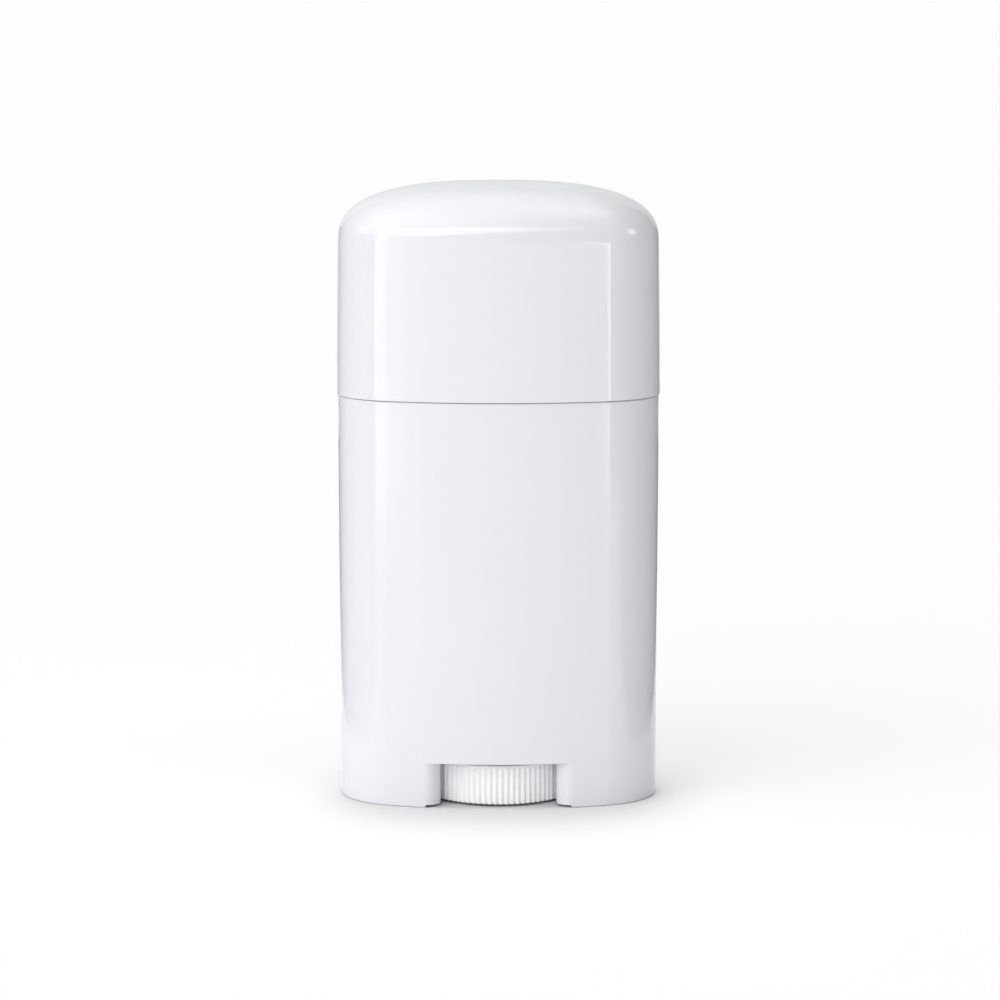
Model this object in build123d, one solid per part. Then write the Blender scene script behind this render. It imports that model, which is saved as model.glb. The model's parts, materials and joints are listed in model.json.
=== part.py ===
"""A twist-up deodorant stick: an oval barrel with a thumb wheel and feed screw in its base,
the stick on its elevator, a seal cover and a domed cap.

Millimetres, +Z up. The origin is on the floor, at the centre of the base. The front faces -Y,
and the two thumb windows are at the front and the back.
"""
from build123d import *
import os
from math import atan, cos, degrees, hypot, pi, radians, sin

# ---- Driving dimensions ---------------------------------------------------------------------

# Plan of the barrel at its shoulder: an oval of four arcs
BODY_WIDTH = 61.5
BODY_DEPTH = 33.0
FRONT_RADIUS = 70.0  # the gentle curve of the front and the back

# Barrel
SHOULDER_HEIGHT = 77.8  # floor to the ledge that the cap closes on
BARREL_DRAFT = 0.28  # each side is this much further in at the floor
EDGE_ROUND = 0.3
NECK_HEIGHT = 18.0
NECK_WALL = 1.0
BEAD_HEIGHT = 0.12  # the grip bead round the neck, and the one inside the cap
BEAD_WIDTH = 0.9
BEAD_EDGE = 0.1
BEAD_ABOVE_SHOULDER = 5.0
WEB_THICKNESS = 1.5  # the floor of the bore, over the thumb wheel
SKIRT_WALL = 1.7  # the outer wall below the web
WELL_WALL = 1.2
FOOT_HEIGHT = 0.5  # the two feet reach this much lower than the rest of the base
FOOT_SETBACK = 0.1  # from the window's rounding to the end of a foot
WINDOW_WIDTH = 22.1
WINDOW_HEIGHT = 8.7  # floor to the window's top edge, which is the web's underside
WINDOW_ROUND = 2.75  # the rounding from the front face into the window
NOSE_WALL = 2.0  # beside the window
POCKET_ROUND = 0.8

# Cap
CAP_HEIGHT = 40.7  # shoulder to crown
CAP_OVERHANG = 0.25
CAP_DRAFT = 0.42  # each side is this much further in where the dome starts
CAP_WALL = 1.2
CROWN_WALL = 1.3
CAP_DOME = 12.0
DOME_POWER = 2.7  # 2 is a quarter ellipse, and more is squarer
DOME_SECTIONS = 13
DOME_LAST_ANGLE = 88.0  # degrees along the dome's side to its small flat middle
SEAM_GAP = 0.12
CAP_CLEARANCE = 0.2

# Thumb wheel
WHEEL_BEHIND_FACE = 1.8  # from the front face back to the tips of the wheel's ribs
WHEEL_LIFT = 0.45
WHEEL_BELOW_WEB = 0.75
WHEEL_CLEARANCE = 0.55  # to the well's wall
RIB_PITCH = 1.1
RIB_DEPTH = 0.42
RIB_SHARE = 0.58  # of the pitch, and the groove has the rest
RIM_WALL = 1.4
BAND_HEIGHT = 0.45  # the plain band above the ribs
BAND_ROUND = 0.3
PLATE_THICKNESS = 1.4
SPOKES = 8
SPOKE_THICKNESS = 1.0
SPOKE_RECESS = 1.2  # from the rim's lower edge up to the spokes
HUB_RADIUS = 4.6
THRUST_GAP = 0.12  # between the web and what bears on it from above and below

# Feed screw
SCREW_RADIUS = 3.5
THREAD_DEPTH = 0.9
LEAD = 5.0
SHANK_RADIUS = 2.9
FLANGE_RADIUS = 6.0
FLANGE_THICKNESS = 1.2
DRIVE_FLATS = 4.6  # the hexagon that drives the screw
DRIVE_CLEARANCE = 0.03
RUNNING_CLEARANCE = 0.15

# Elevator
ELEVATOR_LIFT = 0.6  # over the screw's flange, in the lowest position
ELEVATOR_PLATE = 1.4
ELEVATOR_CLEARANCE = 0.2
WIPER_HEIGHT = 5.0
WIPER_WALL = 0.9
NUT_WALL = 2.4
NUT_HEIGHT = 10.0
NUT_HOLD = 4.0  # how much of the nut is still on the screw in the highest position
FIN_THICKNESS = 1.2
FIN_HEIGHT = 8.0  # over the elevator's underside
FIN_GAP = 2.0  # from the ends of the fins to the wiper rim

# Stick and its seal cover
STICK_CLEARANCE = 0.3
BORE_CLEARANCE = 0.35  # round the screw and over its end
COVER_WALL = 0.8
COVER_CLEARANCE = 0.2
PLUG_DEPTH = 4.0  # how far the cover's skirt goes down inside the neck
BRIM_THICKNESS = 0.8
BRIM_BACK = 0.15  # the brim's edge is this far in from the neck's
BRIM_GAP = 0.06
TAB_WIDTH = 14.0
TAB_HEIGHT = 3.6
TAB_THICKNESS = 1.2
TAB_ROUND = 2.8
HEADROOM = 5.0  # between the tab and the inside of the crown

# ---- Sizes that follow ----------------------------------------------------------------------

neck_top = SHOULDER_HEIGHT + NECK_HEIGHT
web_top = WINDOW_HEIGHT + WEB_THICKNESS
cap_rim = SHOULDER_HEIGHT + SEAM_GAP
dome_start = SHOULDER_HEIGHT + CAP_HEIGHT - CAP_DOME

barrel_angle = degrees(atan(BARREL_DRAFT / SHOULDER_HEIGHT))
cap_slope = CAP_DRAFT / (dome_start - cap_rim)
cap_angle = degrees(atan(cap_slope))

# Insets from the body's plan. All the arcs keep their centres, so an inset is an even wall.
skirt_inset = BARREL_DRAFT + SKIRT_WALL
cap_inset = CAP_WALL - CAP_OVERHANG
neck_inset = cap_inset + cap_slope * (neck_top - cap_rim) + CAP_CLEARANCE
bore_inset = neck_inset + NECK_WALL
plug_inset = bore_inset + COVER_CLEARANCE
core_inset = plug_inset + COVER_WALL + COVER_CLEARANCE

wheel_radius = BODY_DEPTH / 2 - BARREL_DRAFT - WHEEL_BEHIND_FACE
wheel_top = WINDOW_HEIGHT - WHEEL_BELOW_WEB
rim_inside = wheel_radius - RIB_DEPTH - RIM_WALL
well_radius = wheel_radius + WHEEL_CLEARANCE
foot_start = WINDOW_WIDTH / 2 + WINDOW_ROUND + FOOT_SETBACK

flange_bottom = web_top + THRUST_GAP
flange_top = flange_bottom + FLANGE_THICKNESS
elevator_bottom = flange_top + ELEVATOR_LIFT
plate_top = elevator_bottom + ELEVATOR_PLATE
wiper_top = elevator_bottom + WIPER_HEIGHT
nut_top = elevator_bottom + NUT_HEIGHT
nut_radius = SCREW_RADIUS + NUT_WALL
travel = LEAD * int((neck_top - wiper_top) / LEAD)
screw_top = elevator_bottom + travel + NUT_HOLD

brim_top = neck_top + BRIM_THICKNESS
tab_top = SHOULDER_HEIGHT + CAP_HEIGHT - CROWN_WALL - HEADROOM
cover_dome = tab_top - TAB_HEIGHT - brim_top
stick_dome = cover_dome - COVER_WALL - COVER_CLEARANCE


# ---- Shapes that several pieces share -------------------------------------------------------

def oval(inset, z, scale=1.0):
    """The body's plan moved in by inset, at height z: two end arcs and two gentle ones."""
    half_width = (BODY_WIDTH / 2 - inset) * scale
    half_depth = (BODY_DEPTH / 2 - inset) * scale
    front = (FRONT_RADIUS - inset) * scale
    end = (2 * front * half_depth - half_depth**2 - half_width**2) / (2 * (front - half_width))
    end_x = half_width - end
    front_y = front - half_depth
    reach = end / hypot(end_x, front_y)
    corner_x = end_x * (1 + reach)
    corner_y = front_y * reach
    right = ThreePointArc((corner_x, -corner_y), (half_width, 0), (corner_x, corner_y))
    back = ThreePointArc((corner_x, corner_y), (0, half_depth), (-corner_x, corner_y))
    left = ThreePointArc((-corner_x, corner_y), (-half_width, 0), (-corner_x, -corner_y))
    face = ThreePointArc((-corner_x, -corner_y), (0, -half_depth), (corner_x, -corner_y))
    return Pos(0, 0, z) * make_face([right, back, left, face])


def block(inset, bottom, top):
    """A straight-sided block of the body's plan."""
    return extrude(oval(inset, bottom), amount=top - bottom)


def dome(inset, bottom, height):
    """A dome on the body's plan, whose side is a quarter of a superellipse."""
    sections = []
    for section in range(DOME_SECTIONS):
        angle = radians(DOME_LAST_ANGLE) * section / (DOME_SECTIONS - 1)
        across = cos(angle) ** (2 / DOME_POWER)
        up = sin(angle) ** (2 / DOME_POWER)
        sections.append(oval(inset, bottom + height * up, across))
    return loft(sections)


def cylinder(radius, bottom, top):
    """An upright cylinder on the wheel's axis."""
    return extrude(Pos(0, 0, bottom) * Circle(radius), amount=top - bottom)


def slab(width, depth, bottom, top, x=0.0):
    """A rectangular block, centred at x."""
    return extrude(Pos(x, 0, bottom) * Rectangle(width, depth), amount=top - bottom)


def thread(radius, bottom, top):
    """A round right-hand thread: a circle off the axis that turns once in each lead."""
    throw = THREAD_DEPTH / 2
    section = Pos(throw, 0, bottom) * Circle(radius - throw)
    turn = 360 * (top - bottom) / LEAD
    rise = (0, 0, top - bottom)
    return Solid.extrude_linear_with_rotation(section.face(), (0, 0, bottom), rise, turn)


def edges_at(part, z):
    """The edges of part that lie flat at height z."""
    return part.edges().filter_by_position(Axis.Z, z - 0.001, z + 0.001)


# ---- Barrel ---------------------------------------------------------------------------------

def barrel_outside():
    """The drafted body, and the neck that the cap goes over with its grip bead."""
    plan = oval(0, SHOULDER_HEIGHT)
    body = extrude(plan, amount=SHOULDER_HEIGHT, dir=(0, 0, -1), taper=barrel_angle)
    body = fillet(edges_at(body, SHOULDER_HEIGHT), EDGE_ROUND)
    neck = block(neck_inset, SHOULDER_HEIGHT - NECK_WALL, neck_top)
    neck = fillet(edges_at(neck, neck_top), EDGE_ROUND)
    bead_bottom = SHOULDER_HEIGHT + BEAD_ABOVE_SHOULDER
    bead_top = bead_bottom + BEAD_WIDTH
    bead = block(neck_inset - BEAD_HEIGHT, bead_bottom, bead_top)
    bead = chamfer(edges_at(bead, bead_bottom) + edges_at(bead, bead_top), BEAD_EDGE)
    return body + neck + bead


def outermost(edges):
    """Those of the edges that lie on the body's outline."""
    inner = oval(BARREL_DRAFT + SKIRT_WALL / 4, 0).face()

    def is_outside(edge):
        middle = edge.position_at(0.5)
        return not inner.is_inside((middle.X, middle.Y, 0))

    return edges.filter_by(is_outside)


def window_corners(barrel):
    """The four upright edges where the windows' sides meet the front and the back."""
    beside = barrel.edges().filter_by(
        lambda edge: abs(abs(edge.center().X) - WINDOW_WIDTH / 2) < WELL_WALL / 10
        and edge.length > WINDOW_HEIGHT / 2
    )
    return outermost(beside)


def side_hollow():
    """The hollow between the wheel's well and the right-hand end of the skirt."""
    start = WINDOW_WIDTH / 2 + NOSE_WALL
    outline = oval(skirt_inset, 0)
    outline &= Pos(start + BODY_WIDTH / 2, 0) * Rectangle(BODY_WIDTH, BODY_DEPTH)
    outline -= Circle(well_radius + WELL_WALL)
    outline = fillet(outline.vertices(), POCKET_ROUND)
    return extrude(outline, amount=WINDOW_HEIGHT)


def make_barrel():
    """The barrel, moulded in one piece with its neck, web, wheel well and feet."""
    barrel = barrel_outside() - block(bore_inset, web_top, neck_top + NECK_WALL)
    barrel -= cylinder(well_radius, 0, WINDOW_HEIGHT)
    barrel -= slab(WINDOW_WIDTH, 2 * BODY_DEPTH, 0, WINDOW_HEIGHT)
    barrel = fillet(window_corners(barrel), WINDOW_ROUND)
    hollow = side_hollow()
    barrel -= hollow
    barrel -= Rot(0, 0, 180) * hollow
    barrel -= cylinder(SHANK_RADIUS + RUNNING_CLEARANCE, 0, web_top + WEB_THICKNESS)
    barrel -= slab(2 * foot_start, 2 * BODY_DEPTH, 0, FOOT_HEIGHT)
    barrel -= block(skirt_inset, 0, FOOT_HEIGHT)
    return fillet(outermost(edges_at(barrel, 0)), EDGE_ROUND)


# ---- Cap ------------------------------------------------------------------------------------

def domed_block(inset, dome_height):
    """A drafted block from the cap's rim up, with a dome on it."""
    plan = oval(inset, cap_rim)
    wall = extrude(plan, amount=dome_start - cap_rim, taper=cap_angle)
    return wall + dome(inset + CAP_DRAFT, dome_start, dome_height)


def make_cap():
    """The overcap, which closes on the shoulder round the neck, with a grip bead inside."""
    cap = domed_block(-CAP_OVERHANG, CAP_DOME)
    cap = fillet(edges_at(cap, cap_rim), EDGE_ROUND / 2)
    cap -= domed_block(cap_inset, CAP_DOME - CROWN_WALL)
    bead_bottom = SHOULDER_HEIGHT + BEAD_ABOVE_SHOULDER - 2 * BEAD_WIDTH
    bead_top = bead_bottom + BEAD_WIDTH
    bead_inset = cap_inset + cap_slope * (bead_bottom - cap_rim)
    bead = block(bead_inset - CAP_WALL / 2, bead_bottom, bead_top)
    bead -= block(bead_inset + BEAD_HEIGHT, bead_bottom, bead_top)
    return cap + bead


# ---- Thumb wheel and feed screw -------------------------------------------------------------

def ribbed_outline():
    """The wheel's outline: rounded ribs with narrower rounded grooves between them."""
    ribs = round(2 * pi * wheel_radius / RIB_PITCH)
    step = 2 * pi / ribs
    root = wheel_radius - RIB_DEPTH
    flank = wheel_radius - RIB_DEPTH / 2

    def at(radius, angle):
        return (radius * cos(angle), radius * sin(angle))

    arcs = []
    for rib in range(ribs):
        tip = rib * step
        rib_start = at(flank, tip - RIB_SHARE / 2 * step)
        rib_end = at(flank, tip + RIB_SHARE / 2 * step)
        next_start = at(flank, tip + (1 - RIB_SHARE / 2) * step)
        arcs.append(ThreePointArc(rib_start, at(wheel_radius, tip), rib_end))
        arcs.append(ThreePointArc(rib_end, at(root, tip + step / 2), next_start))
    return make_face(arcs)


def drive_hexagon(flats, bottom, top):
    """The hexagon on the screw's lower end, or its hole in the wheel."""
    outline = RegularPolygon(flats / 2, 6, major_radius=False)
    return extrude(Pos(0, 0, bottom) * outline, amount=top - bottom)


def make_thumb_wheel():
    """A ribbed wheel, cored from below, with a hub that bears under the web."""
    band_bottom = wheel_top - BAND_HEIGHT
    ribbed = extrude(Pos(0, 0, WHEEL_LIFT) * ribbed_outline(), amount=band_bottom - WHEEL_LIFT)
    band = cylinder(wheel_radius - RIB_DEPTH / 2, band_bottom, wheel_top)
    wheel = ribbed + fillet(edges_at(band, wheel_top), BAND_ROUND)
    wheel -= cylinder(rim_inside, WHEEL_LIFT, wheel_top - PLATE_THICKNESS)
    wheel += cylinder(HUB_RADIUS, WHEEL_LIFT, WINDOW_HEIGHT - THRUST_GAP)
    reach = rim_inside + RIM_WALL / 2
    arm_bottom = WHEEL_LIFT + SPOKE_RECESS
    arm_top = wheel_top - PLATE_THICKNESS / 2
    arm = slab(reach, SPOKE_THICKNESS, arm_bottom, arm_top, x=reach / 2)
    for spoke in range(SPOKES):
        wheel += Rot(0, 0, 360 * spoke / SPOKES) * arm
    return wheel - drive_hexagon(DRIVE_FLATS + 2 * DRIVE_CLEARANCE, 0, WINDOW_HEIGHT)


def make_feed_screw():
    """The screw that the elevator climbs, held down by its flange and by the wheel below."""
    screw = drive_hexagon(DRIVE_FLATS, WHEEL_LIFT + SPOKE_RECESS / 2, WINDOW_HEIGHT)
    screw += cylinder(SHANK_RADIUS, WINDOW_HEIGHT - THRUST_GAP, flange_bottom)
    screw += cylinder(FLANGE_RADIUS, flange_bottom, flange_top)
    return screw + thread(SCREW_RADIUS, flange_top, screw_top)


# ---- Elevator and stick ---------------------------------------------------------------------

def make_elevator():
    """The platform under the stick, with the nut, the wiper rim and fins that grip the stick."""
    inset = bore_inset + ELEVATOR_CLEARANCE
    elevator = block(inset, elevator_bottom, wiper_top)
    elevator -= block(inset + WIPER_WALL, plate_top, wiper_top)
    elevator += cylinder(nut_radius, elevator_bottom, nut_top)
    fin_bottom = elevator_bottom + ELEVATOR_PLATE / 2
    fin_top = elevator_bottom + FIN_HEIGHT
    fin_inset = inset + WIPER_WALL + FIN_GAP
    elevator += slab(BODY_WIDTH - 2 * fin_inset, FIN_THICKNESS, fin_bottom, fin_top)
    elevator += slab(FIN_THICKNESS, BODY_DEPTH - 2 * fin_inset, fin_bottom, fin_top)
    nut_thread = SCREW_RADIUS + RUNNING_CLEARANCE
    return elevator - thread(nut_thread, flange_top - LEAD, nut_top + LEAD)


def make_stick():
    """The stick, cast round the elevator's fins, with a step and a dome shaped by the cover."""
    step = neck_top - PLUG_DEPTH - COVER_CLEARANCE
    stick = block(bore_inset + STICK_CLEARANCE, plate_top, step)
    stick += block(core_inset, step, brim_top)
    stick += dome(core_inset, brim_top, stick_dome)
    screw_hole = SCREW_RADIUS + BORE_CLEARANCE
    stick -= cylinder(screw_hole, plate_top, screw_top + BORE_CLEARANCE)
    stick -= cylinder(nut_radius, plate_top, nut_top)
    return stick - make_elevator()


def make_inner_cover():
    """The seal cover: a plug skirt in the neck, a brim on it, a dome and a pull tab."""
    inside = plug_inset + COVER_WALL
    cover = block(plug_inset, neck_top - PLUG_DEPTH, brim_top)
    cover += block(neck_inset + BRIM_BACK, neck_top + BRIM_GAP, brim_top)
    cover += dome(plug_inset, brim_top, cover_dome)
    cover -= block(inside, neck_top - PLUG_DEPTH, brim_top)
    cover -= dome(inside, brim_top, cover_dome - COVER_WALL)
    tab_bottom = brim_top + cover_dome - COVER_WALL / 2
    tab = slab(TAB_WIDTH, TAB_THICKNESS, tab_bottom, tab_top)
    tab_corners = tab.edges().filter_by(Axis.Y).group_by(Axis.Z)[-1]
    return cover + fillet(tab_corners, TAB_ROUND)


# ---- Files ----------------------------------------------------------------------------------

pieces = {
    "barrel": make_barrel(),
    "thumb_wheel": make_thumb_wheel(),
    "feed_screw": make_feed_screw(),
    "elevator": make_elevator(),
    "deodorant_stick": make_stick(),
    "inner_cover": make_inner_cover(),
    "cap": make_cap(),
}

os.makedirs("parts", exist_ok=True)
for name, piece in pieces.items():
    piece.label = name
    export_step(piece, f"parts/{name}.step")
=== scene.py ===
"""Looks of a white twist-up deodorant stick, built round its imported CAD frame. Metres, +Z up, front to -Y.

Six CAD nodes stay in view with their own plastics and wax, and a wheel with finer ribs replaces the
thumb wheel. The studio is a pale floor, a soft sky, a few soft boxes, and panels for the reflections.
"""
import json
from math import cos, pi, radians, sin, sqrt

import bpy
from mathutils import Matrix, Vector

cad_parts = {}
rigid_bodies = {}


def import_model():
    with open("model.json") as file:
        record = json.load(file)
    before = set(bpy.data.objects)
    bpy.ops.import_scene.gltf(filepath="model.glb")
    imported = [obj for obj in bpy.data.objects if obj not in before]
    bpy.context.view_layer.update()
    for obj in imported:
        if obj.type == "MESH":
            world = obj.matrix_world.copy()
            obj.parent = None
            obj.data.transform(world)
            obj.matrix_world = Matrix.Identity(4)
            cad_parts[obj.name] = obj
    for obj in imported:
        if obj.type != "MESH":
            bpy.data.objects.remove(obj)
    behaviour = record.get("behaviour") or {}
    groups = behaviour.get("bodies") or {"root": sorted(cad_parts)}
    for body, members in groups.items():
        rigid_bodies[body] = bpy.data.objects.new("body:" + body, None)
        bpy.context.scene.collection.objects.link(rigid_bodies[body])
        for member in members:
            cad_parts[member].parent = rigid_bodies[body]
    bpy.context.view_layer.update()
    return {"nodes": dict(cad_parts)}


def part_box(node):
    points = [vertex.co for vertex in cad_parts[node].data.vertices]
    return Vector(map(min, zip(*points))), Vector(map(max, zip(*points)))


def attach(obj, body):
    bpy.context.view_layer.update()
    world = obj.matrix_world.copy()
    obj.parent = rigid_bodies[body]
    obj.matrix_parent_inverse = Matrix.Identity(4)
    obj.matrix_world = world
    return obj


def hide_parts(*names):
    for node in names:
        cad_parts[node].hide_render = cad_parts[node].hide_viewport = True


for item in list(bpy.data.objects):
    bpy.data.objects.remove(item)

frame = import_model()

MM = 0.001
SHARP_ANGLE = radians(35)
scene = bpy.context.scene
nodes = frame["nodes"]


# ---- Meshes ---------------------------------------------------------------------------------

def new_object(name, points, faces):
    """A mesh object with smooth faces and its sharp edges kept."""
    mesh = bpy.data.meshes.new(name)
    mesh.from_pydata([Vector(p) for p in points], [], faces)
    mesh.validate()
    piece = bpy.data.objects.new(name, mesh)
    scene.collection.objects.link(piece)
    smooth(mesh)
    return piece


def smooth(mesh):
    mesh.shade_smooth()
    mesh.set_sharp_from_angle(angle=SHARP_ANGLE)


def ring_solid(name, rings):
    """A closed solid through rings of equal length. Its first and last ring are capped flat."""
    count = len(rings[0])
    points = [p for ring in rings for p in ring]
    faces = []
    for row in range(len(rings) - 1):
        low, high = row * count, (row + 1) * count
        for i in range(count):
            j = (i + 1) % count
            faces.append((low + i, low + j, high + j, high + i))
    faces.append(tuple(reversed(range(count))))
    faces.append(tuple(range((len(rings) - 1) * count, len(rings) * count)))
    return new_object(name, points, faces)


def circle(radius, z, count=96):
    return [(radius * cos(2 * pi * i / count), radius * sin(2 * pi * i / count), z) for i in range(count)]


def quarter_turn(steps):
    """The sine and cosine at equal steps through a quarter turn."""
    return [(sin(pi / 2 * k / steps), cos(pi / 2 * k / steps)) for k in range(steps + 1)]


def combine(piece, tool, operation):
    """Applies one boolean to piece, and removes the tool."""
    step = piece.modifiers.new("step", "BOOLEAN")
    step.operation = operation
    step.solver = "MANIFOLD"
    step.object = tool
    graph = bpy.context.evaluated_depsgraph_get()
    mesh = bpy.data.meshes.new_from_object(piece.evaluated_get(graph))
    piece.modifiers.clear()
    piece.data = mesh
    bpy.data.objects.remove(tool)


# ---- Materials ------------------------------------------------------------------------------

PLASTIC_IOR = 1.49
SCATTER_DEPTH = 0.002
SCATTER_TINT = (1.0, 0.9, 0.8)
GRAIN_DEPTH = 0.00002
TONE_NOISE = (55.0, 4.0)    # scale and detail
GLOSS_NOISE = (140.0, 6.0)
WAVE_NOISE = (70.0, 1.0)
GRAIN_DETAIL = 2.0


def plastic(name, color, roughness, shade=0.012, grain=900.0, bump=0.02, waviness=0.0,
            scatter=0.0, roughness_range=0.06):
    """Moulded plastic: a faint tone variation, uneven gloss and a fine moulded surface."""
    material = bpy.data.materials.new(name)
    material.use_nodes = True
    made, links = material.node_tree.nodes, material.node_tree.links
    shader = made["Principled BSDF"]
    shader.inputs["IOR"].default_value = PLASTIC_IOR
    if scatter:
        shader.inputs["Subsurface Weight"].default_value = scatter
        shader.inputs["Subsurface Radius"].default_value = SCATTER_TINT
        shader.inputs["Subsurface Scale"].default_value = SCATTER_DEPTH
    where = made.new("ShaderNodeTexCoord")

    def noise(scale, detail):
        texture = made.new("ShaderNodeTexNoise")
        texture.inputs["Scale"].default_value = scale
        texture.inputs["Detail"].default_value = detail
        links.new(where.outputs["Object"], texture.inputs["Vector"])
        return texture.outputs["Fac"]

    tone = made.new("ShaderNodeMixRGB")
    tone.inputs["Color1"].default_value = (*[c * (1 - shade) for c in color], 1)
    tone.inputs["Color2"].default_value = (*[min(1, c * (1 + shade)) for c in color], 1)
    links.new(noise(*TONE_NOISE), tone.inputs["Fac"])
    links.new(tone.outputs["Color"], shader.inputs["Base Color"])

    spread = made.new("ShaderNodeMapRange")
    spread.inputs["To Min"].default_value = roughness - roughness_range / 2
    spread.inputs["To Max"].default_value = roughness + roughness_range / 2
    links.new(noise(*GLOSS_NOISE), spread.inputs["Value"])
    links.new(spread.outputs["Result"], shader.inputs["Roughness"])

    surface = made.new("ShaderNodeBump")
    surface.inputs["Strength"].default_value = bump
    surface.inputs["Distance"].default_value = GRAIN_DEPTH
    links.new(noise(grain, GRAIN_DETAIL), surface.inputs["Height"])
    last = surface
    if waviness:
        last = made.new("ShaderNodeBump")
        last.inputs["Strength"].default_value = 1.0
        last.inputs["Distance"].default_value = waviness
        links.new(noise(*WAVE_NOISE), last.inputs["Height"])
        links.new(surface.outputs["Normal"], last.inputs["Normal"])
    links.new(last.outputs["Normal"], shader.inputs["Normal"])
    return material


barrel_plastic = plastic("barrel_plastic", (0.83, 0.846, 0.882), 0.11, roughness_range=0.04,
                         waviness=0.000004)
cap_plastic = plastic("cap_plastic", (0.84, 0.847, 0.872), 0.05, roughness_range=0.03,
                      waviness=0.000003)
wheel_plastic = plastic("wheel_plastic", (0.95, 0.955, 0.965), 0.22)
inner_plastic = plastic("inner_plastic", (0.80, 0.80, 0.78), 0.38, scatter=0.15)
cover_plastic = plastic("cover_plastic", (0.80, 0.81, 0.82), 0.33, scatter=0.2)
wax = plastic("wax", (0.84, 0.83, 0.79), 0.42, shade=0.03, grain=2500.0, bump=0.12, scatter=0.35)


def finish(piece, material):
    """Gives a piece or a CAD node its one finished material."""
    piece.data.materials.clear()
    piece.data.materials.append(material)


for node_name, node_material in (
    ("barrel", barrel_plastic),
    ("cap", cap_plastic),
    ("thumb_wheel", wheel_plastic),
    ("feed_screw", inner_plastic),
    ("elevator", inner_plastic),
    ("inner_cover", cover_plastic),
    ("deodorant_stick", wax),
):
    finish(nodes[node_name], node_material)


# ---- Thumb wheel ----------------------------------------------------------------------------

RIBS = 82
RIB_DEPTH = 0.42 * MM
RIB_SAMPLES = (-0.5, -0.42, -0.35, -0.29, -0.2, -0.1, 0.0, 0.1, 0.2, 0.29, 0.35, 0.42)
RIB_HALF = 0.29             # where a rib meets its groove. This and the samples are shares of the pitch
RIM_HEIGHT = 7.5 * MM
BAND_HEIGHT = 0.48 * MM     # the plain band over the ribs
RUN_OUT = 0.5 * MM          # height over which the ribs fade into the band
RIM_ROUNDING = 0.28 * MM
RIM_WALL = 1.4 * MM
PLATE = 1.4 * MM
CORE_FLARE = 0.25 * MM
CORE_FILLET = 0.4 * MM
HUB_RADIUS = 4.6 * MM
HUB_CHAMFER = 0.2 * MM
SPOKES = 8
SPOKE_HALF = 0.5 * MM
SPOKE_RECESS = 1.2 * MM     # above the wheel's bottom
SPOKE_CHAMFER = 0.12 * MM
OVERLAP = 0.7 * MM          # how far a spoke runs into the rim and the plate
HEXAGON = 4.66 * MM         # from the middle to a corner is this over the square root of 3


def rib_swell(u):
    """How far the surface stands off the band's radius, at a share u of the pitch from a rib's middle."""
    if abs(u) <= RIB_HALF:
        return (1 - (u / RIB_HALF) ** 2) * RIB_DEPTH / 2
    return -(1 - ((0.5 - abs(u)) / (0.5 - RIB_HALF)) ** 2) * RIB_DEPTH / 2


def make_rim(bottom, tip):
    """The ribbed rim as a solid disc."""
    band_radius = tip - RIB_DEPTH / 2
    top = bottom + RIM_HEIGHT
    band_bottom = top - BAND_HEIGHT
    straight = bottom + RIM_ROUNDING
    # z, inset and share of the rib's swell, ring by ring
    heights = [(bottom + RIM_ROUNDING * (1 - c), RIM_ROUNDING * (1 - s), 1.0) for s, c in quarter_turn(4)]
    for share in (0.35, 0.7):
        heights.append((straight + share * (band_bottom - RUN_OUT - straight), 0.0, 1.0))
    heights += [(band_bottom - RUN_OUT * (1 - s), 0.0, c) for s, c in quarter_turn(6)]
    heights += [(top - RIM_ROUNDING * (1 - s), RIM_ROUNDING * (1 - c), 0.0) for s, c in quarter_turn(3)]
    rings = []
    for z, inset, share in heights:
        ring = []
        for rib in range(RIBS):
            for u in RIB_SAMPLES:
                angle = 2 * pi * (rib + u) / RIBS
                radius = band_radius - inset + rib_swell(u) * share
                ring.append((radius * cos(angle), radius * sin(angle), z))
        rings.append(ring)
    return ring_solid("wheel_ribbed", rings)


def make_spoke(turn, reach, low, high):
    """A straight spoke from the middle outwards, with its lower edges chamfered."""
    corners = ((0.0, -1), (reach, -1), (reach, 1), (0.0, 1))
    rings = []
    for z, slim in ((low, SPOKE_CHAMFER), (low + SPOKE_CHAMFER, 0.0), (high, 0.0)):
        half = SPOKE_HALF - slim
        rings.append([
            (x * cos(turn) - side * half * sin(turn), x * sin(turn) + side * half * cos(turn), z)
            for x, side in corners
        ])
    return ring_solid("spoke", rings)


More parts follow.
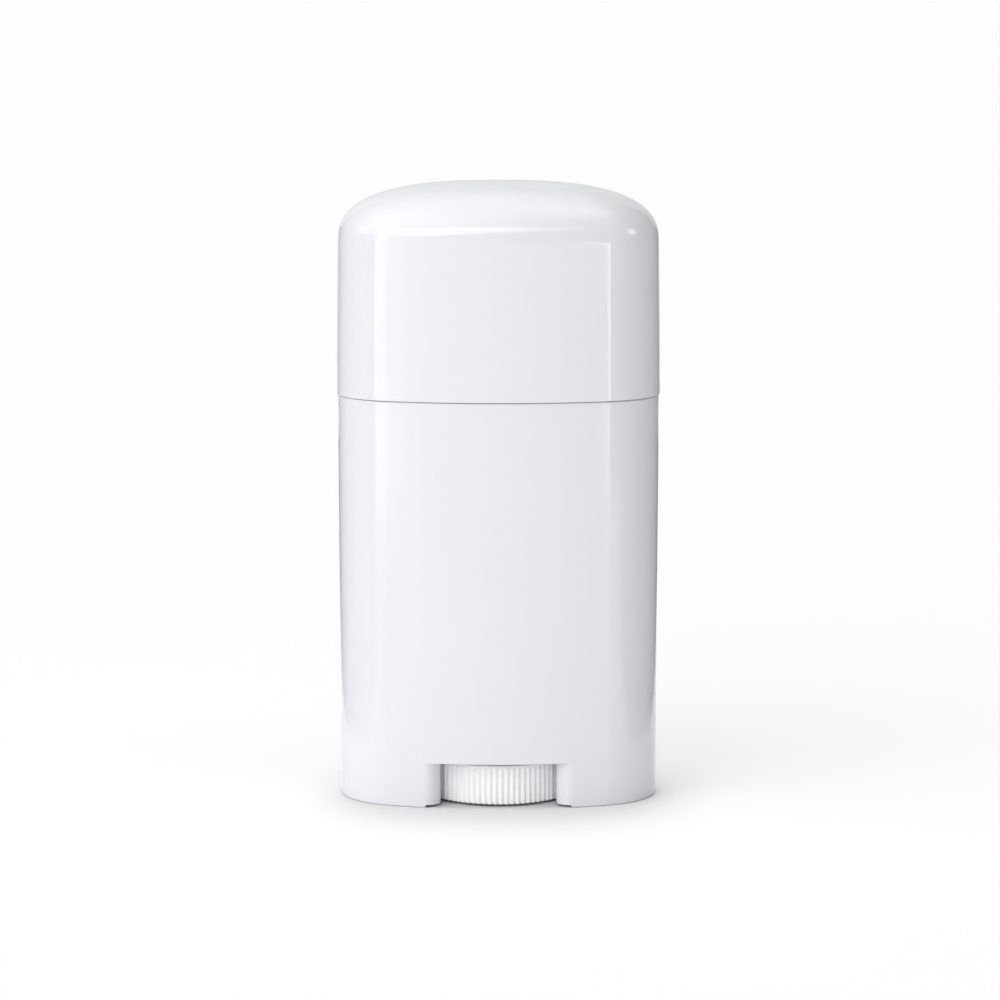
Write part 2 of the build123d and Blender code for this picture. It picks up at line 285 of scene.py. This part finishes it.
def make_wheel():
    """The wheel: ribs that run out rounded under a plain band, and a cored, spoked underside."""
    low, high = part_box("thumb_wheel")
    tip, bottom, hub_top = high.x, low.z, high.z
    wheel = make_rim(bottom, tip)

    rim_inside = tip - RIB_DEPTH - RIM_WALL
    plate_bottom = bottom + RIM_HEIGHT - PLATE
    core = ring_solid("core", [circle(radius, z, 128) for radius, z in (
        (rim_inside + CORE_FLARE, bottom - MM),
        (rim_inside + CORE_FLARE, bottom),
        (rim_inside, bottom + CORE_FLARE),
        (rim_inside, plate_bottom - CORE_FILLET),
        (rim_inside - 0.3 * CORE_FILLET, plate_bottom - 0.3 * CORE_FILLET),
        (rim_inside - CORE_FILLET, plate_bottom),
    )])
    combine(wheel, core, "DIFFERENCE")
    hub = ring_solid("hub", [circle(radius, z) for radius, z in (
        (HUB_RADIUS - HUB_CHAMFER, bottom),
        (HUB_RADIUS, bottom + HUB_CHAMFER),
        (HUB_RADIUS, hub_top - HUB_CHAMFER),
        (HUB_RADIUS - HUB_CHAMFER, hub_top),
    )])
    combine(wheel, hub, "UNION")
    for spoke in range(SPOKES):
        combine(wheel, make_spoke(2 * pi * spoke / SPOKES, rim_inside + OVERLAP, bottom + SPOKE_RECESS,
                                  plate_bottom + OVERLAP), "UNION")
    corner = HEXAGON / sqrt(3)
    hexagon = [(corner * cos(radians(30 + 60 * k)), corner * sin(radians(30 + 60 * k))) for k in range(6)]
    hole = ring_solid("hole", [[(x, y, z) for x, y in hexagon] for z in (bottom - MM, hub_top + MM)])
    combine(wheel, hole, "DIFFERENCE")
    smooth(wheel.data)
    finish(wheel, wheel_plastic)
    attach(wheel, "thumb_wheel")
    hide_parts("thumb_wheel")
    return wheel


wheel = make_wheel()


# ---- Floor and its lights -------------------------------------------------------------------

FLOOR_HALF = 20.0
FLOOR_TONE = 0.62
FLOOR_ROUGHNESS = 0.6


def group(name, *members):
    """A collection that only says what a light reaches."""
    collection = bpy.data.collections.new(name)
    for member in members:
        collection.objects.link(member)
    return collection


def make_floor():
    mesh = bpy.data.meshes.new("floor")
    corners = ((-FLOOR_HALF, -FLOOR_HALF), (FLOOR_HALF, -FLOOR_HALF),
               (FLOOR_HALF, FLOOR_HALF), (-FLOOR_HALF, FLOOR_HALF))
    mesh.from_pydata([Vector((x, y, 0)) for x, y in corners], [], [(0, 1, 2, 3)])
    floor = bpy.data.objects.new("floor", mesh)
    scene.collection.objects.link(floor)
    material = bpy.data.materials.new("floor")
    material.use_nodes = True
    shader = material.node_tree.nodes["Principled BSDF"]
    shader.inputs["Base Color"].default_value = (FLOOR_TONE, FLOOR_TONE, FLOOR_TONE, 1)
    shader.inputs["Roughness"].default_value = FLOOR_ROUGHNESS
    shader.inputs["Specular IOR Level"].default_value = 0.0
    mesh.materials.append(material)
    return floor


floor_only = group("floor_only", make_floor())


def floor_light(name, tilt, softness, strength):
    """A wide overhead light for the floor alone. It leans back by tilt."""
    light = bpy.data.lights.new(name, "SUN")
    light.angle = radians(softness)
    light.energy = strength
    lamp = bpy.data.objects.new(name, light)
    scene.collection.objects.link(lamp)
    lamp.rotation_euler = (-radians(tilt), 0, 0)
    lamp.light_linking.receiver_collection = floor_only


floor_light("overhead", 0, 16, 1.37)
floor_light("overhead_back", 9, 12, 0.85)


# ---- Sky ------------------------------------------------------------------------------------

# Soft lobes: (name, axis, power, strength)
SKY = (
    ("back", (0, 1, 0.15), 2.0, 0.22),
    ("back_high", (0, 0.6, 0.8), 6.0, 0.43),
    ("front_left", (-0.3, -0.75, 0.6), 6.0, 0.80),
    ("top_left", (-0.6, -0.5, 0.6), 5.0, 1.93),
    ("top_right", (0.35, -0.3, 0.88), 24.0, 2.1),
    ("zenith", (0, 0.1, 1), 12.0, 1.1),
)


def make_world():
    """A sky of soft lobes, seen by the camera as plain white."""
    world = bpy.data.worlds.new("studio")
    scene.world = world
    world.use_nodes = True
    made, links = world.node_tree.nodes, world.node_tree.links
    background = made["Background"]

    def math(operation, a, b, name=""):
        step = made.new("ShaderNodeMath")
        step.operation = operation
        step.name = name or step.name
        for socket, value in zip(step.inputs, (a, b)):
            if isinstance(value, float):
                socket.default_value = value
            else:
                links.new(value, socket)
        return step.outputs[0]

    where = made.new("ShaderNodeTexCoord")
    total = None
    for name, axis, power, strength in SKY:
        lobe = made.new("ShaderNodeVectorMath")
        lobe.operation = "DOT_PRODUCT"
        links.new(where.outputs["Generated"], lobe.inputs[0])
        lobe.inputs[1].default_value = Vector(axis).normalized()
        shape = math("POWER", math("MAXIMUM", lobe.outputs["Value"], 0.0), power)
        part = math("MULTIPLY", shape, strength, "sky_" + name)
        total = part if total is None else math("ADD", total, part)
    path = made.new("ShaderNodeLightPath")
    seen = made.new("ShaderNodeMix")
    links.new(path.outputs["Is Camera Ray"], seen.inputs["Factor"])
    links.new(total, seen.inputs["A"])
    seen.inputs["B"].default_value = 1.0
    links.new(seen.outputs["Result"], background.inputs["Strength"])
    background.inputs["Color"].default_value = (1, 1, 1, 1)


make_world()


# ---- Soft boxes -----------------------------------------------------------------------------

MIDDLE = 0.07               # height of the object's middle
WHEEL_MIDDLE = 0.004


def around(azimuth, elevation, distance):
    """A place seen from the object's middle, with its azimuth from the front, positive to the right."""
    a, e = radians(azimuth), radians(elevation)
    return (distance * cos(e) * sin(a), -distance * cos(e) * cos(a), MIDDLE + distance * sin(e))


def soft_box(name, place, aim, width, height, radiance):
    """A soft box at place with the given radiance. It faces the object's axis at the height aim."""
    light = bpy.data.lights.new(name, "AREA")
    light.shape = "RECTANGLE"
    light.size, light.size_y = width, height
    light.energy = radiance * width * height * pi
    box = bpy.data.objects.new(name, light)
    scene.collection.objects.link(box)
    box.location = place
    box.rotation_mode = "QUATERNION"
    box.rotation_quaternion = (Vector((0, 0, aim)) - Vector(place)).to_track_quat("-Z", "Y")
    box.visible_camera = False
    return box


left_box = soft_box("left_box", around(-62, 5, 0.6), MIDDLE, 0.21, 0.4, 0.5)
left_box.visible_glossy = False
back_box = soft_box("back_box", around(180, 6, 0.6), MIDDLE, 0.3, 0.4, 2.4)
back_box.visible_glossy = False
back_box.light_linking.receiver_collection = group("without_floor", wheel, *nodes.values())
wheel_box = soft_box("wheel_box", around(-16, 10, 0.5), WHEEL_MIDDLE, 0.3, 0.2, 1.5)
wheel_box.light_linking.receiver_collection = group("wheel_only", wheel)


# ---- Panels that only reflections show ------------------------------------------------------

# (name, distance, one side, other side). A side has its azimuth, lowest and highest point, and glow.
# The glow is 0 on a black flag.
PANELS = (
    ("left_edge", 0.38, (-57.4, 0.0, 0.155, 2.4), (-44.0, 0.0, 0.165, 2.7)),
    ("left_fade", 0.38, (-44.0, 0.0, 0.165, 2.7), (-26.0, 0.0, 0.165, 0.9)),
    ("right_line", 0.38, (35.6, 0.0, 0.1, 4.5), (37.4, 0.0, 0.1, 4.5)),
    ("right_corner", 0.37, (26.0, 0.097, 0.1, 1.5), (37.4, 0.093, 0.1, 4.5)),
    ("upper_left", 0.45, (-50.0, 0.165, 0.24, 4.0), (-22.0, 0.175, 0.28, 5.4)),
    ("upper_fade", 0.45, (-22.0, 0.175, 0.28, 5.4), (30.0, 0.25, 0.29, 1.2)),
    ("spot_left", 0.42, (-90.0, 0.19, 0.26, 6.5), (-76.0, 0.19, 0.26, 6.5)),
    ("spot_right", 0.42, (71.0, 0.165, 0.24, 4.5), (85.0, 0.165, 0.24, 4.5)),
    ("backdrop_left", 0.8, (-215.0, 0.0, 0.7, 0.75), (-180.0, 0.0, 0.7, 0.75)),
    ("backdrop_right", 0.8, (-180.0, 0.0, 0.7, 0.75), (-145.0, 0.0, 0.7, 0.75)),
    ("flag_left", 0.45, (-80.0, 0.0, 0.12, 0.0), (-57.4, 0.0, 0.12, 0.0)),
    ("flag_left_side", 0.45, (-125.0, 0.0, 0.12, 0.0), (-80.0, 0.0, 0.12, 0.0)),
    ("flag_right", 0.45, (37.4, 0.0, 0.12, 0.0), (80.0, 0.0, 0.12, 0.0)),
    ("flag_right_side", 0.45, (80.0, 0.0, 0.12, 0.0), (125.0, 0.0, 0.12, 0.0)),
)
BLACK = (0.0, 0.0, 0.0, 0.0)
FLAG_HEIGHT = 0.13
FLAG_FRONT, FLAG_BACK = -0.1, 0.5                   # where the flags at each side start and end, in Y
FLAG_INNER, FLAG_NEAR, FLAG_FAR = 0.08, 0.16, 0.22  # their distances from the middle, in X
LYING_FRONT, LYING_HEIGHT = -0.02, 0.0005           # the flags that lie on the floor


def make_panel_material():
    material = bpy.data.materials.new("panel")
    material.use_nodes = True
    made, links = material.node_tree.nodes, material.node_tree.links
    made.remove(made["Principled BSDF"])
    shine = made.new("ShaderNodeEmission")
    glow = made.new("ShaderNodeAttribute")
    glow.attribute_name = "glow"
    links.new(glow.outputs["Fac"], shine.inputs["Strength"])
    links.new(shine.outputs["Emission"], made["Material Output"].inputs["Surface"])
    return material


panel_material = make_panel_material()


def panel(name, corners, glow):
    """A panel with its own glow at each of its four corners."""
    mesh = bpy.data.meshes.new(name)
    mesh.from_pydata([Vector(c) for c in corners], [], [(0, 1, 2, 3)])
    mesh.attributes.new("glow", "FLOAT", "POINT").data.foreach_set("value", glow)
    board = bpy.data.objects.new(name, mesh)
    scene.collection.objects.link(board)
    mesh.materials.append(panel_material)
    board.visible_camera = board.visible_diffuse = board.visible_shadow = False


for name, distance, (start, low_0, high_0, glow_0), (end, low_1, high_1, glow_1) in PANELS:
    (x0, y0, _), (x1, y1, _) = around(start, 0, distance), around(end, 0, distance)
    panel(name, ((x0, y0, low_0), (x1, y1, low_1), (x1, y1, high_1), (x0, y0, high_0)),
          (glow_0, glow_1, glow_1, glow_0))
for hand, name in ((1, "flag_near_right"), (-1, "flag_near_left")):
    inner, near, far = FLAG_INNER * hand, FLAG_NEAR * hand, FLAG_FAR * hand
    panel(name, ((near, FLAG_FRONT, 0.0), (far, FLAG_BACK, 0.0),
                 (far, FLAG_BACK, FLAG_HEIGHT), (near, FLAG_FRONT, FLAG_HEIGHT)), BLACK)
    panel(name + "_low", ((inner, LYING_FRONT, LYING_HEIGHT), (near, FLAG_FRONT, LYING_HEIGHT),
                          (far, FLAG_BACK, LYING_HEIGHT), (inner, FLAG_BACK, LYING_HEIGHT)), BLACK)


# ---- Camera ---------------------------------------------------------------------------------

camera_data = bpy.data.cameras.new("camera")
camera = bpy.data.objects.new("camera", camera_data)
scene.collection.objects.link(camera)
scene.camera = camera
camera_data.sensor_width = 36.0
camera_data.lens = 134.4
camera_data.clip_start = 0.05
camera_data.clip_end = 60.0
camera.location = (0.0003, -0.710, 0.164)
camera.rotation_euler = (radians(81.44), 0, 0)

scene.view_settings.view_transform = "Standard"
